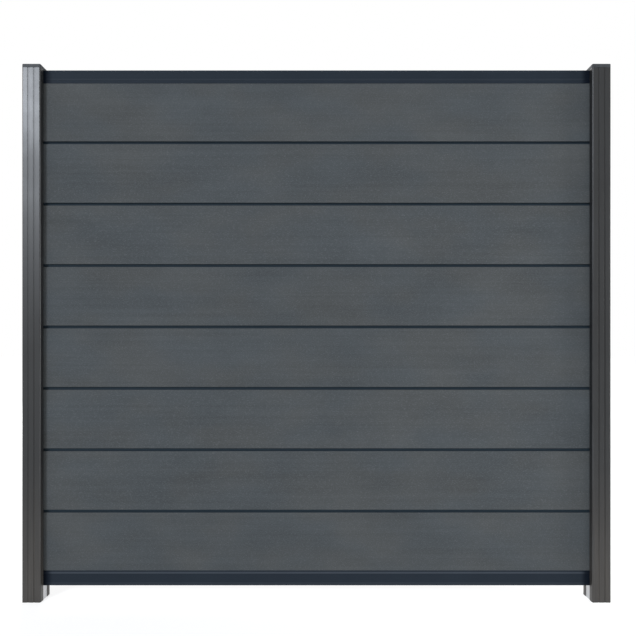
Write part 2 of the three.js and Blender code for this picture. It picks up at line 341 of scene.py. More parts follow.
@dataclass(frozen=True)
class PowderCoatedAluminium(Finish):
    """Extruded aluminium under a sprayed and baked polyester powder coat.

    To the eye it is a satin skin with a faint orange peel. The die lines of the extrusion still show through
    it as soft streaks along the piece, its gloss is a little uneven, and the coat pulls thin and pale over
    the arrises. A strip that stands proud is painted paler as a painted highlight. Painted shade darkens the
    inner corners, the floors of the flutes and the ends of a rail beside the posts. Dust splashed on the foot
    of a post lightens it, and its pale colour is also a painted reflection of the floor there.
    """

    along: Along
    colour: str
    pale: str
    painted_shade: str
    roughness: float
    specular: float
    dust_and_light_reach: float = 0.0  # height above the ground that the dust and its painted light reach, or 0 for none
    end_shade_from: float = 0.0  # distance from the middle at which the painted shade on a rail's end starts, or 0 for none
    die_line: float = 3.2  # real die lines are under 1 mm apart; drawn wider, so that they show
    die_line_length: float = 1600.0
    die_line_depth: float = 0.05
    peel: float = 2.4  # real orange peel is about 1.5 mm across; drawn wider, so that it shows
    peel_depth: float = 0.06
    grain: float = 0.8
    cloud: float = 140.0  # patches of slightly different gloss and tone, a hand's width across
    gloss_play: float = 0.04  # how far the roughness drifts up and down with the clouds
    flute_dullness: float = 0.025  # roughness that dust adds in the flutes
    strip_highlight: float = 0.6  # share of the pale colour on a proud strip, a painted highlight
    nook_shade_share: float = 0.8  # share of the painted shade in a flute or an inner corner
    end_shade_share: float = 0.9  # share of the painted shade on the end of a rail
    end_fade: float = 21.0  # length over which it comes in
    # colour of the dust, also a painted reflection of the floor on the foot of a post
    dust_and_light: str = "#6d665e"
    dust_and_light_share: float = 0.42
    streak: float = 5.0  # width of the streaks that the dust and its painted light lie in
    streak_length: float = 260.0

    def painted_end_shade(self, tree: NodeTree, place: NodeSocket) -> Node | float:
        """Finds the ends of a rail beside the posts, which get painted shade.

        Args:
            tree: The material's node tree.
            place: The place on the piece.

        Returns:
            The share of the painted shade there.
        """
        if not self.end_shade_from:
            return 0.0
        across = add_node(tree, "SeparateXYZ", sockets={0: place}).outputs["X"]
        reach = add_node(tree, "Math", {"operation": "ABSOLUTE"}, {0: across})
        start, end = self.end_shade_from * MM, (self.end_shade_from + self.end_fade) * MM
        fade = {"Value": reach, "From Min": start, "From Max": end, "To Max": self.end_shade_share}
        return add_node(tree, "MapRange", SMOOTH, fade)

    def dusted_and_lit(
        self, tree: NodeTree, place: NodeSocket, coat: Node
    ) -> Node:
        """Lays dust on the foot of the piece, in streaks up it, more towards the ground. Its pale colour is
        also a painted reflection of the floor on the foot.

        Args:
            tree: The material's node tree.
            place: The place on the piece.
            coat: The colour of the coat without dust.

        Returns:
            The colour of the coat with its dust and painted light.
        """
        if not self.dust_and_light_reach:
            return coat
        # Dust, lighter towards the ground, whose pale colour is also a painted reflection of the floor.
        height = add_node(tree, "SeparateXYZ", sockets={0: place}).outputs["Z"]
        fade = {"Value": height, "From Min": self.dust_and_light_reach * MM, "From Max": 0.0, "To Max": self.dust_and_light_share}
        reach = add_node(tree, "MapRange", SMOOTH, fade)
        stretch = self.along.stretched(self.streak, self.streak_length)
        run = add_node(tree, "Mapping", sockets={"Vector": place, "Scale": stretch})
        streaks = add_node(tree, "TexNoise", sockets={"Vector": run, "Scale": 1.0, "Detail": 3.0})
        share = add_node(tree, "Math", MULTIPLY, {0: reach, 1: streaks})
        return add_node(tree, "Mix", COLOURS, {0: share, 6: coat, 7: linear(self.dust_and_light)})

    def surface(self, tree: NodeTree) -> Node:
        """Builds the coat: its tone, its wear and painted highlight, its painted shade, its dust and painted
        light, its gloss, and its relief.

        Args:
            tree: The material's node tree, still empty.

        Returns:
            The shader of the coat.
        """
        place = add_node(tree, "TexCoord").outputs["Object"]
        stretch = self.along.stretched(self.die_line, self.die_line_length)
        drawn = add_node(tree, "Mapping", sockets={"Vector": place, "Scale": stretch})
        die_lines = add_node(tree, "TexNoise", sockets={"Vector": drawn, "Scale": 1.0, "Detail": 3.0})
        peel, grain, clouds = (
            add_node(tree, "TexNoise", sockets={"Vector": place, "Scale": 1 / (size * MM), "Detail": detail})
            for size, detail in ((self.peel, 1.5), (self.grain, 1.0), (self.cloud, 3.0))
        )
        tone = add_node(tree, "Math", MULTIPLY_ADD, {0: clouds, 1: 0.22, 2: 0.73})
        tone = add_node(tree, "Math", MULTIPLY_ADD, {0: grain, 1: 0.32, 2: tone})
        coat = add_node(tree, "VectorMath", SCALE, {0: linear(self.colour)[:3], "Scale": tone})
        arris, proud, flute_floor = (
            add_node(tree, "Attribute", {"attribute_name": name}) for name in (ARRIS, PROUD_HIGHLIGHT, FLUTE_FLOOR)
        )
        patchy = {"Value": clouds, "From Min": 0.35, "From Max": 0.7, "To Min": 0.15, "To Max": 0.75}
        rubbed_and_highlit = add_node(tree, "MapRange", SMOOTH, patchy)
        edges = add_node(tree, "Math", MULTIPLY | CLAMP, {0: arris, 1: rubbed_and_highlit})
        # Painted highlight: the proud strips of a rail are painted paler; on the arrises the pale colour is
        # real wear.
        thin_and_highlit = add_node(tree, "Math", MULTIPLY_ADD | CLAMP, {0: proud, 1: self.strip_highlight, 2: edges})
        worn_and_painted_light = add_node(tree, "Mix", COLOURS, {0: thin_and_highlit, 6: coat, 7: linear(self.pale)})
        # Painted shade: the shade colour darkens the flute floors, the inner corners and the ends of a rail.
        in_flutes = add_node(tree, "Math", MULTIPLY, {0: flute_floor, 1: self.nook_shade_share})
        in_corners = add_node(tree, "Math", MULTIPLY, {0: arris, 1: -self.nook_shade_share})
        nooks = add_node(tree, "Math", MAXIMUM | CLAMP, {0: in_flutes, 1: in_corners})
        share = add_node(tree, "Math", MAXIMUM, {0: nooks, 1: self.painted_end_shade(tree, place)})
        shade_painted = add_node(tree, "Mix", COLOURS, {0: share, 6: worn_and_painted_light, 7: linear(self.painted_shade)})
        glossiest, dullest = self.roughness - self.gloss_play, self.roughness + self.gloss_play
        drift = {"Value": clouds, "From Min": 0.3, "From Max": 0.7, "To Min": glossiest, "To Max": dullest}
        gloss = add_node(tree, "MapRange", sockets=drift)
        rough = add_node(tree, "Math", MULTIPLY_ADD, {0: grain, 1: 0.06, 2: gloss})
        dulled = add_node(tree, "Math", MULTIPLY_ADD, {0: flute_floor, 1: self.flute_dullness, 2: rough})
        relief: dict[str | int, Any] = {}
        for height, depth in ((die_lines, self.die_line_depth), (peel, self.peel_depth)):
            raised = {"Strength": 0.5, "Distance": depth * MM, "Height": height}
            relief = {"Normal": add_node(tree, "Bump", sockets=raised | relief)}
        look = {"Base Color": self.dusted_and_lit(tree, place, shade_painted), "Roughness": dulled} | relief
        gloss = {"Metallic": 0.0, "IOR": 1.5, "Specular IOR Level": self.specular}
        return add_node(tree, "BsdfPrincipled", sockets=look | gloss)


@dataclass(frozen=True)
class BrushedWoodComposite(Finish):
    """Wood flour and polymer, extruded as a hollow board, with both faces brushed along their length.

    To the eye the faces are dead matt, with fine lines along the board where the brush has opened the skin,
    short pale fibres, and soft clouds of a slightly warmer or cooler grey. The tongue and the groove keep
    the skin of the extrusion, which is darker and smoother; its dark blue-grey also stands as painted shade
    in the joints between the boards. No two boards are quite the same tone.
    """

    cool: str
    warm: str
    skin: str
    fibre: str
    first_board: float  # height of the lowest board's lower edge
    board_pitch: float
    brush_line: float = 1.3  # distance between the brush's lines; real ones are 0.5 to 1.5 mm apart
    brush_length: float = 260.0
    brush_depth: float = 0.25
    streak: float = 9.0  # bands where the brush has pressed harder
    streak_length: float = 900.0
    fibre_size: float = 0.7  # width of a fibre; its length is six times that
    cloud: float = 110.0
    hue_patch: float = 130.0
    tone: float = 0.335  # share of the colour that every place has, to which the patterns add
    board_play: float = 0.03  # how much lighter one board may be than another
    tone_shares: tuple[tuple[str, float], ...] = (("brush", 0.3), ("streak", 0.24), ("cloud", 0.48))

    def patterns(
        self, tree: NodeTree, place: NodeSocket, board: Node
    ) -> dict[str, Node]:
        """Lays the composite's patterns along the boards.

        Args:
            tree: The material's node tree.
            place: The place on the board.
            board: The board's number, which sets its patterns apart from those of its neighbours.

        Returns:
            Each pattern by its name.
        """
        seed = add_node(tree, "Math", MULTIPLY, {0: board, 1: 3.71})
        laid = {}
        for name, across, along, detail in (
            ("brush", self.brush_line, self.brush_length, 2.0),
            ("streak", self.streak, self.streak_length, 2.0),
            ("fibre", self.fibre_size, 6 * self.fibre_size, 0.0),
            ("cloud", self.cloud, 2.0 * self.cloud, 3.0),
            ("hue", self.hue_patch, 1.8 * self.hue_patch, 2.0),
        ):
            stretch = Along.LENGTH.stretched(across, along)
            run = add_node(tree, "Mapping", sockets={"Vector": place, "Scale": stretch})
            sockets = {"Vector": run, "W": seed, "Scale": 1.0, "Detail": detail}
            laid[name] = add_node(tree, "TexNoise", {"noise_dimensions": "4D"}, sockets)
        return laid

    def surface(self, tree: NodeTree) -> Node:
        """Builds the composite: the tone of each board, its brushed colour, its skin, which is also painted
        shade in the joints, and its relief.

        Args:
            tree: The material's node tree, still empty.

        Returns:
            The shader of the composite.
        """
        place = add_node(tree, "TexCoord").outputs["Object"]
        height = add_node(tree, "SeparateXYZ", sockets={0: place}).outputs["Z"]
        above = add_node(tree, "Math", {"operation": "SUBTRACT"}, {0: height, 1: self.first_board * MM})
        boards_up = add_node(tree, "Math", {"operation": "DIVIDE"}, {0: above, 1: self.board_pitch * MM})
        board = add_node(tree, "Math", {"operation": "FLOOR"}, {0: boards_up})
        patterns = self.patterns(tree, place, board)
        drawn_lot = add_node(tree, "TexWhiteNoise", {"noise_dimensions": "1D"}, {"W": board})
        tone = add_node(tree, "Math", MULTIPLY_ADD, {0: drawn_lot, 1: self.board_play, 2: self.tone})
        for name, share in self.tone_shares:
            tone = add_node(tree, "Math", MULTIPLY_ADD, {0: patterns[name], 1: share, 2: tone})
        drift = {"Value": patterns["hue"], "From Min": 0.35, "From Max": 0.65}
        hue = add_node(tree, "MapRange", SMOOTH, drift)
        body = add_node(tree, "Mix", COLOURS, {0: hue, 6: linear(self.cool), 7: linear(self.warm)})
        toned = add_node(tree, "VectorMath", SCALE, {0: body, "Scale": tone})
        sparse = {"Value": patterns["fibre"], "From Min": 0.6, "From Max": 0.74, "To Max": 0.3}
        fibres = add_node(tree, "MapRange", SMOOTH, sparse)
        open_face = add_node(tree, "Mix", COLOURS, {0: fibres, 6: toned, 7: linear(self.fibre)})
        brushed = add_node(tree, "Attribute", {"attribute_name": BRUSHED})
        # Painted shade: the dark skin colour on the tongue and the groove also stands for the shade in the
        # joints.
        colour = add_node(tree, "Mix", COLOURS, {0: brushed, 6: linear(self.skin), 7: open_face})
        dull = {"Value": patterns["brush"], "From Min": 0.3, "From Max": 0.7, "To Min": 0.78, "To Max": 0.92}
        rough = add_node(tree, "MapRange", sockets=dull)
        relief = add_node(tree, "Math", MULTIPLY_ADD, {0: patterns["fibre"], 1: 0.35, 2: patterns["brush"]})
        cut = add_node(tree, "Math", MULTIPLY, {0: relief, 1: brushed})
        depth = self.brush_depth * MM
        lines = add_node(tree, "Bump", sockets={"Strength": 0.6, "Distance": depth, "Height": cut})
        look = {"Base Color": colour, "Roughness": rough, "Normal": lines}
        gloss = {"IOR": 1.5, "Specular IOR Level": 0.3}
        return add_node(tree, "BsdfPrincipled", sockets=look | gloss)


@dataclass(frozen=True)
class MouldedPlastic(Finish):
    """Weatherproof ABS, injection moulded in a tool with a spark-eroded face.

    To the eye it is matt with a fine even grain, flow marks a shade lighter drift across it, and the grain is
    polished off the edges by handling.
    """

    colour: str
    flow: str
    grain: float = 1.1  # real spark grain is 0.1 to 0.3 mm; drawn coarser, so that it shows
    grain_depth: float = 0.08
    flow_mark: float = 26.0

    def surface(self, tree: NodeTree) -> Node:
        """Builds the plastic: its flow marks, its handled edges and its grain.

        Args:
            tree: The material's node tree, still empty.

        Returns:
            The shader of the plastic.
        """
        place = add_node(tree, "TexCoord").outputs["Object"]
        fine, wide = 1 / (self.grain * MM), 1 / (self.flow_mark * MM)
        grain = add_node(tree, "TexNoise", sockets={"Vector": place, "Scale": fine, "Detail": 2.0})
        winding = {"Vector": place, "Scale": wide, "Detail": 2.0, "Distortion": 1.2}
        flow = add_node(tree, "TexNoise", sockets=winding)
        drift = add_node(
            tree, "MapRange", SMOOTH, {"Value": flow, "From Min": 0.35, "From Max": 0.7, "To Max": 0.6}
        )
        body = add_node(tree, "Mix", COLOURS, {0: drift, 6: linear(self.colour), 7: linear(self.flow)})
        arris = add_node(tree, "Attribute", {"attribute_name": ARRIS})
        handled = add_node(tree, "Math", MULTIPLY | CLAMP, {0: arris, 1: 0.5})
        colour = add_node(tree, "Mix", COLOURS, {0: handled, 6: body, 7: linear(self.flow)})
        matt = {"Value": grain, "From Min": 0.3, "From Max": 0.7, "To Min": 0.52, "To Max": 0.64}
        rough = add_node(tree, "MapRange", sockets=matt)
        depth = self.grain_depth * MM
        spark = add_node(tree, "Bump", sockets={"Strength": 0.5, "Distance": depth, "Height": grain})
        look = {"Base Color": colour, "Roughness": rough, "Normal": spark}
        gloss = {"IOR": 1.53, "Specular IOR Level": 0.3}
        return add_node(tree, "BsdfPrincipled", sockets=look | gloss)


@dataclass(frozen=True)
class ExtrudedRubber(Finish):
    """EPDM rubber, extruded as a long strip.

    To the eye it is a soft black that greys where bloom and dust lie on it, with fine lines along the strip.
    """

    colour: str
    bloom: str
    die_line: float = 0.6
    die_line_length: float = 120.0
    die_line_depth: float = 0.08
    patch: float = 35.0

    def surface(self, tree: NodeTree) -> Node:
        """Builds the rubber: its bloom and its fine lines.

        Args:
            tree: The material's node tree, still empty.

        Returns:
            The shader of the rubber.
        """
        place = add_node(tree, "TexCoord").outputs["Object"]
        stretch = Along.HEIGHT.stretched(self.die_line, self.die_line_length)
        drawn = add_node(tree, "Mapping", sockets={"Vector": place, "Scale": stretch})
        lines = add_node(tree, "TexNoise", sockets={"Vector": drawn, "Scale": 1.0, "Detail": 2.0})
        wide = 1 / (self.patch * MM)
        patches = add_node(tree, "TexNoise", sockets={"Vector": place, "Scale": wide, "Detail": 3.0})
        greyed = add_node(
            tree, "MapRange", SMOOTH, {"Value": patches, "From Min": 0.4, "From Max": 0.75, "To Max": 0.5}
        )
        colour = add_node(tree, "Mix", COLOURS, {0: greyed, 6: linear(self.colour), 7: linear(self.bloom)})
        dull = {"Value": patches, "From Min": 0.3, "From Max": 0.7, "To Min": 0.68, "To Max": 0.85}
        rough = add_node(tree, "MapRange", sockets=dull)
        depth = self.die_line_depth * MM
        scored = add_node(tree, "Bump", sockets={"Strength": 0.5, "Distance": depth, "Height": lines})
        look = {"Base Color": colour, "Roughness": rough, "Normal": scored}
        gloss = {"IOR": 1.52, "Specular IOR Level": 0.35}
        return add_node(tree, "BsdfPrincipled", sockets=look | gloss)


@dataclass(frozen=True)
class MillFinishAluminium(Finish):
    """Aluminium as it leaves the extrusion press, without a coat.

    To the eye it is a dull silver with fine die lines along the piece, and a few darker bands where the die
    had picked up metal.
    """

    colour: str
    band: str
    die_line: float = 1.2
    die_line_length: float = 300.0
    die_line_depth: float = 0.04

    def surface(self, tree: NodeTree) -> Node:
        """Builds the metal: its die lines, as colour, as gloss and as relief.

        Args:
            tree: The material's node tree, still empty.

        Returns:
            The shader of the metal.
        """
        place = add_node(tree, "TexCoord").outputs["Object"]
        stretch = Along.HEIGHT.stretched(self.die_line, self.die_line_length)
        drawn = add_node(tree, "Mapping", sockets={"Vector": place, "Scale": stretch})
        lines = add_node(tree, "TexNoise", sockets={"Vector": drawn, "Scale": 1.0, "Detail": 3.0})
        banded = add_node(tree, "MapRange", SMOOTH, {"Value": lines, "From Min": 0.45, "From Max": 0.75})
        colour = add_node(tree, "Mix", COLOURS, {0: banded, 6: linear(self.colour), 7: linear(self.band)})
        satin = {"Value": lines, "From Min": 0.3, "From Max": 0.7, "To Min": 0.36, "To Max": 0.5}
        rough = add_node(tree, "MapRange", sockets=satin)
        depth = self.die_line_depth * MM
        scored = add_node(tree, "Bump", sockets={"Strength": 0.5, "Distance": depth, "Height": lines})
        look = {"Base Color": colour, "Roughness": rough, "Normal": scored}
        return add_node(tree, "BsdfPrincipled", sockets=look | {"Metallic": 1.0, "Anisotropic": 0.4})


POST_COAT = PowderCoatedAluminium(
    name="powder_coated_aluminium_posts",
    slot="post_aluminium",
    along=Along.HEIGHT,
    colour="#242526",
    pale="#3e4042",
    # painted shade for the flutes and the inner corners
    painted_shade="#101112",
    roughness=0.305,
    specular=0.35,
    # dust on the foot, which is also a painted reflection of the floor
    dust_and_light_reach=520.0,
)
RAIL_COAT = PowderCoatedAluminium(
    name="powder_coated_aluminium_rails",
    slot="rail_aluminium",
    along=Along.LENGTH,
    colour="#252c34",
    pale="#474d55",
    # painted shade for the inner corners and the ends of the rails
    painted_shade="#0a111b",
    roughness=0.55,
    specular=0.05,
    end_shade_from=857.0,
)
COMPOSITE = BrushedWoodComposite(
    name="brushed_wood_composite",
    slot="board_composite",
    cool="#474c4f",
    warm="#4a4d4e",
    # the skin's dark blue-grey is also painted shade for the joints
    skin="#1b2831",
    fibre="#777c7e",
    first_board=92.0,
    board_pitch=200.0,
)
CAP_PLASTIC = MouldedPlastic(name="spark_grained_abs", slot="cap_plastic", colour="#2e3134", flow="#3a3e42")
SEAL_RUBBER = ExtrudedRubber(
    name="extruded_epdm_rubber", slot="seal_rubber", colour="#1d2023", bloom="#404347"
)
BARE_ALUMINIUM = MillFinishAluminium(
    name="mill_finish_aluminium", slot="support_aluminium", colour="#c3c4c6", band="#a2a3a6"
)


# ---- Pieces ----


class Part(ABC):
    """A piece of the screen: it stands for one CAD node, in its place and on its body."""

    finish: ClassVar[Finish]
    node_name: ClassVar[str]  # with the piece's own side, face or number left open
    body_name: ClassVar[str] = "frame"

    @property
    def node(self) -> str:
        """The CAD node that the piece stands for."""
        return self.node_name.format(part=self)

    @property
    def body(self) -> str:
        """The CAD body that the piece rides on: that of the posts, unless it lifts off."""
        return self.body_name.format(part=self)

    @abstractmethod
    def shape(self) -> Object:
        """Makes the piece's mesh where the CAD has the node.

        Returns:
            The piece, in the scene.
        """

    def dress(self, piece: Object) -> None:
        """Gives the piece its finish."""
        self.finish.dress(piece)

    def build(self) -> Object:
        """Builds the piece in the CAD node's stead.

        Returns:
            The piece, in the scene.
        """
        piece = self.shape()
        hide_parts(self.node)
        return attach(piece, self.body)


class Extrusion(Part):
    """A piece with one section from end to end, which is told from its CAD node by the word in made."""

    along: ClassVar[Along]
    made: ClassVar[str]

    @abstractmethod
    def section(self) -> Section:
        """Gives the section: around its middle on a post, and with v = 0 at its foot along the screen.

        Returns:
            The cross-section, in millimetres.
        """

    def shape(self) -> Object:
        """Extrudes the section over the length of the CAD node.

        Returns:
            The piece, in the scene.
        """
        low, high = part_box(self.node)
        origin = Vector(((low.x + high.x) / 2, (low.y + high.y) / 2, low.z))
        span = self.along.span(low, high)
        return extruded(f"{self.node}_{self.made}", self.section(), self.along, span, origin)


# ---- Posts and what belongs to them ----


@dataclass(frozen=True)
class Post(Extrusion):
    """A square aluminium post with two flutes on its front and back, and a slot in each side."""

    side: Side
    size: float = 60.0
    corner: float = 4.0
    wall: float = 2.0
    slot_width: float = 24.0
    slot_depth: float = 18.0
    slot_lip: float = 0.7  # radius of the slot's mouth
    slot_root: float = 0.8  # radius of its inner corners
    flute_spacing: float = 19.0
    flute_width: float = 6.0
    flute_depth: float = 0.9
    flute_slope: float = 0.3  # width of a flute's sloping side
    arris: float = 0.3  # radius of the flutes' edges
    root: float = 0.4  # radius of their inner corners
    floor_band: float = 0.2  # height above a flute's floor that is marked too
    core_radius: float = 1.2  # of the middle chamber's corners
    chamber_radius: float = 1.8  # of those of the four chambers beside the slots
    along: ClassVar[Along] = Along.HEIGHT
    made: ClassVar[str] = "coated"
    finish: ClassVar[Finish] = POST_COAT
    node_name: ClassVar[str] = "{part.side.value}_post"

    def face(self) -> list[Corner]:
        """Gives the corners of the front.

        Returns:
            The corners from the post's left corner to the last flute.
        """
        out, deep = -self.size / 2, self.flute_depth - self.size / 2
        corners = [Corner(out, out, self.corner)]
        for middle in (-self.flute_spacing / 2, self.flute_spacing / 2):
            left, right = middle - self.flute_width / 2, middle + self.flute_width / 2
            corners += [Corner(left, out, self.arris), Corner(left + self.flute_slope, deep, self.root)]
            corners += [Corner(right - self.flute_slope, deep, self.root), Corner(right, out, self.arris)]
        return corners

    def slotted_side(self) -> list[Corner]:
        """Gives the corners of a side with its slot, drawn as if it were the front.

        Returns:
            The corners from the post's left corner to the slot's far lip.
        """
        out, half = -self.size / 2, self.slot_width / 2
        corners = [Corner(out, out, self.corner), Corner(-half, out, self.slot_lip)]
        corners += [Corner(u, out + self.slot_depth, self.slot_root) for u in (-half, half)]
        return [*corners, Corner(half, out, self.slot_lip)]

    def section(self) -> Section:
        """Gives the post's section, with five chambers inside.

        Returns:
            The cross-section around the post's axis.
        """
        turns = ((1, 0), (0, 1), (-1, 0), (0, -1))
        sides = (self.face(), self.slotted_side(), self.face(), self.slotted_side())
        outside = [
            Corner(c.u * cos - c.v * sin, c.u * sin + c.v * cos, c.radius)
            for (cos, sin), side in zip(turns, sides)
            for c in side
        ]
        floor = self.size / 2 - self.slot_depth
        core = floor - self.wall
        front = self.size / 2 - self.wall - self.flute_depth
        flank = self.size / 2 - self.wall
        lip = self.slot_width / 2 + self.wall
        chambers = [rectangle(-core, -front, core, front, self.core_radius)]
        for u in (1, -1):
            for v in (1, -1):
                left, right = sorted((u * floor, u * flank))
                low, high = sorted((v * lip, v * front))
                chambers.append(rectangle(left, low, right, high, self.chamber_radius))
        return Section(outside, chambers)

    def shape(self) -> Object:
        """Extrudes the post, and marks the floors of its flutes.

        Returns:
            The piece, in the scene.
        """
        piece = super().shape()
        low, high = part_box(self.node)
        axis = (low + high) / 2
        floor = self.size / 2 - self.flute_depth

        def in_a_flute(place: Vector) -> bool:
            """Tells whether a point lies on the floor of a flute."""
            across, out = abs(place.x - axis.x) / MM, abs(place.y - axis.y) / MM
            return across < self.flute_spacing and abs(out - floor) < self.floor_band

        # The flute floors get painted shade in the coat, and a duller gloss.
        mark(piece, FLUTE_FLOOR, in_a_flute)
        return piece


@dataclass(frozen=True)
class PostCap(Part):
    """A moulded cap: a bevelled plate over the post, and a hollow plug with crush ribs that grips inside."""

    side: Side
    size: float = 60.0
    corner: float = 4.0
    height: float = 12.0
    seat: float = 0.3  # from the post's end to the plate
    bevel: float = 1.6
    plug_width: float = 19.4
    plug_depth: float = 52.8
    plug_length: float = 20.0
    plug_wall: float = 2.0
    plug_radius: float = 1.0
    hollow: float = 3.0  # how far the plug's hollow goes up into the plate
    rib: float = 0.2
    rib_places: tuple[float, ...] = (-17.0, 0.0, 17.0)
    finish: ClassVar[Finish] = CAP_PLASTIC
    node_name: ClassVar[str] = "{part.side.value}_post_cap"
    body_name: ClassVar[str] = "{part.side.value}_cap"

    def ring(self, width: float, depth: float, radius: float, rib: float = 0.0) -> list[tuple[float, float]]:
        """Gives a rounded rectangle around the axis, with as many points as every other ring of the cap.

        Args:
            width: Its size along X.
            depth: Its size along Y.
            radius: Its corners' radius.
            rib: How far the crush ribs stand out of its long sides.

        Returns:
            Its points.
        """
        half, long = width / 2, depth / 2
        bump = ((-1.0, 0.0), (-0.4, rib), (0.4, rib), (1.0, 0.0))
        ribs = [(y + at, out) for y in self.rib_places for at, out in bump]
        up = [Corner(half + out, y) for y, out in ribs]
        down = [Corner(-half - out, -y) for y, out in ribs]
        corners = [Corner(-half, -long, radius), Corner(half, -long, radius), *up]
        corners += [Corner(half, long, radius), Corner(-half, long, radius), *down]
        return [(u, v) for u, v, _ in rounded(corners, steps=6)]

    def rings(self) -> list[tuple[list[tuple[float, float]], float, float]]:
        """Gives the cap's skin, from the ceiling of its hollow, over the plug and the plate, to its top.

        Returns:
            The points, the height and the wear of each ring.
        """
        foot, bore = -self.plug_length, 2 * self.plug_wall
        rings = []
        for less, z, wear_and_highlight, rib in (
            (bore, self.seat + self.hollow, 0.0, 0.0),
            (bore, foot, 0.0, 0.0),
            (2.0, foot, 0.2, 0.0),
            (0.5, foot + 1.6, 0.3, 0.0),
            (0.0, foot + 2.4, 0.0, 0.0),
            (0.0, foot + 4.0, 0.3, self.rib),
            (0.0, -0.8, 0.3, self.rib),
            (0.0, self.seat, 0.0, 0.0),
        ):
            width, depth = self.plug_width - less, self.plug_depth - less
            rings.append((self.ring(width, depth, self.plug_radius, rib), z, wear_and_highlight))
        edge = self.height - self.bevel
        for inset, z, wear_and_highlight in (
            (0.3, self.seat, 0.2),
            (0.08, self.seat + 0.08, 0.6),
            (0.0, self.seat + 0.3, 0.0),
            (0.0, edge - 0.4, 0.0),
            (0.05, edge - 0.1, 0.9),
            (0.2, edge + 0.2, 0.4),
            (self.bevel - 0.4, self.height - 0.2, 0.4),
            (self.bevel - 0.1, self.height - 0.05, 0.9),
            (self.bevel + 0.5, self.height, 0.0),
        ):
            across = self.size - 2 * inset
            rings.append((self.ring(across, across, self.corner - inset / 2), z, wear_and_highlight))
        return rings

    def shape(self) -> Object:
        """Lofts the cap through its rings.

        Returns:
            The piece, in the scene.
        """
        low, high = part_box(self.node)
        origin = Vector(((low.x + high.x) / 2, (low.y + high.y) / 2, high.z - self.height * MM))
        form = bmesh.new()
        arris = form.verts.layers.float.new(ARRIS)
        skin = []
        for points, z, wear_and_highlight in self.rings():
            ring = [form.verts.new(origin + Vector((u, v, z)) * MM) for u, v in points]
            for vertex in ring:
                vertex[arris] = wear_and_highlight
            skin.append(ring)
        for inner, outer in zip(skin, skin[1:]):
            for i in range(len(inner)):
                form.faces.new((inner[i - 1], inner[i], outer[i], outer[i - 1]))
        for end in (skin[0], skin[-1]):
            form.faces.new(end)
        return piece_from(form, f"{self.node}_moulded")


@dataclass(frozen=True)
class SlotSeal(Extrusion):
    """A rubber strip with three ribs, which fills the room between the boards and one wall of the slot."""

    side: Side
    face: Face
    width: float = 6.0
    thickness: float = 1.4
    web: float = 0.9  # thickness between the ribs
    arris: float = 0.3
    root: float = 0.2
    along: ClassVar[Along] = Along.HEIGHT
    made: ClassVar[str] = "strip"
    finish: ClassVar[Finish] = SEAL_RUBBER
    node_name: ClassVar[str] = "{part.side.value}_{part.face.value}_seal"

    def section(self) -> Section:
        """Gives the strip's section, with its flat back to the slot's wall and its ribs to the boards.

        Returns:
            The cross-section around the strip's middle.
        """
        back = -1 if self.face is Face.FRONT else 1
        wall, crest = back * self.thickness / 2, -back * self.thickness / 2
        valley = wall - back * self.web
        half, rib = self.width / 2, self.width / 5
        corners = [Corner(-half, wall, self.arris)]
        for i in range(3):
            left = -half + 2 * i * rib
            corners += [Corner(u, crest, self.arris) for u in (left, left + rib)]
            if i < 2:
                corners += [Corner(u, valley, self.root) for u in (left + rib, left + 2 * rib)]
        return Section([*corners, Corner(half, wall, self.arris)])


@dataclass(frozen=True)
class RailSupport(Extrusion):
    """A short square tube that stands in the slot and carries the end of the bottom rail."""

    side: Side
    width: float = 16.7
    depth: float = 23.4
    wall: float = 2.0
    corner: float = 0.8
    bore_corner: float = 0.4
    along: ClassVar[Along] = Along.HEIGHT
    made: ClassVar[str] = "tube"
    finish: ClassVar[Finish] = BARE_ALUMINIUM
    node_name: ClassVar[str] = "{part.side.value}_rail_support"

    def section(self) -> Section:
        """Gives the tube's section.

        Returns:
            The cross-section around the tube's axis.
        """
        half, long = self.width / 2, self.depth / 2
        across, deep = half - self.wall, long - self.wall
        bore = rectangle(-across, -deep, across, deep, self.bore_corner)
        return Section(rectangle(-half, -long, half, long, self.corner), [bore])


# ---- Rails and boards ----


@dataclass(frozen=True)
class Rail(Extrusion):
    """What the two rails share: a channel for the edge of a board, a closed chamber and proud strips."""

    depth: float = 23.4
    channel: float = 20.6
    lap: float = 3.0  # height of the channel's lips over the board's faces
    wall: float = 2.0
    recess: float = 0.8  # how far the band between the proud strips lies back
    arris: float = 0.6
    root: float = 0.4  # radius of the strips' edges and of the channel's floor
    lip_edge: tuple[float, float] = (0.2, 0.1)  # radius of a lip's edges, outside and inside
    chamber_radius: float = 1.0
    proud: float = 0.1  # how far behind a strip's face its painted highlight reaches
    strips_part: ClassVar[float]  # a height between the lower and the upper strip
    strip_highlight: ClassVar[tuple[float, float]]  # how far the lower and the upper strip get the painted highlight
    along: ClassVar[Along] = Along.LENGTH
    made: ClassVar[str] = "coated"
    finish: ClassVar[Finish] = RAIL_COAT

    def shape(self) -> Object:
        """Extrudes the rail, and marks the strips that stand proud.

        Returns:
            The piece, in the scene.
        """
        piece = super().shape()
        low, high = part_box(self.node)
        middle, face = (low.y + high.y) / 2, (self.depth / 2 - self.proud) * MM

        def wear_and_highlight(place: Vector) -> float:
            """Tells how far the painted highlight lies on the rail at a point."""
            lower, upper = self.strip_highlight
            if abs(place.y - middle) <= face:
                return 0.0
            return lower if (place.z - low.z) / MM < self.strips_part else upper

        # The proud strips get a painted highlight in the coat.
        mark(piece, PROUD_HIGHLIGHT, wear_and_highlight)
        return piece


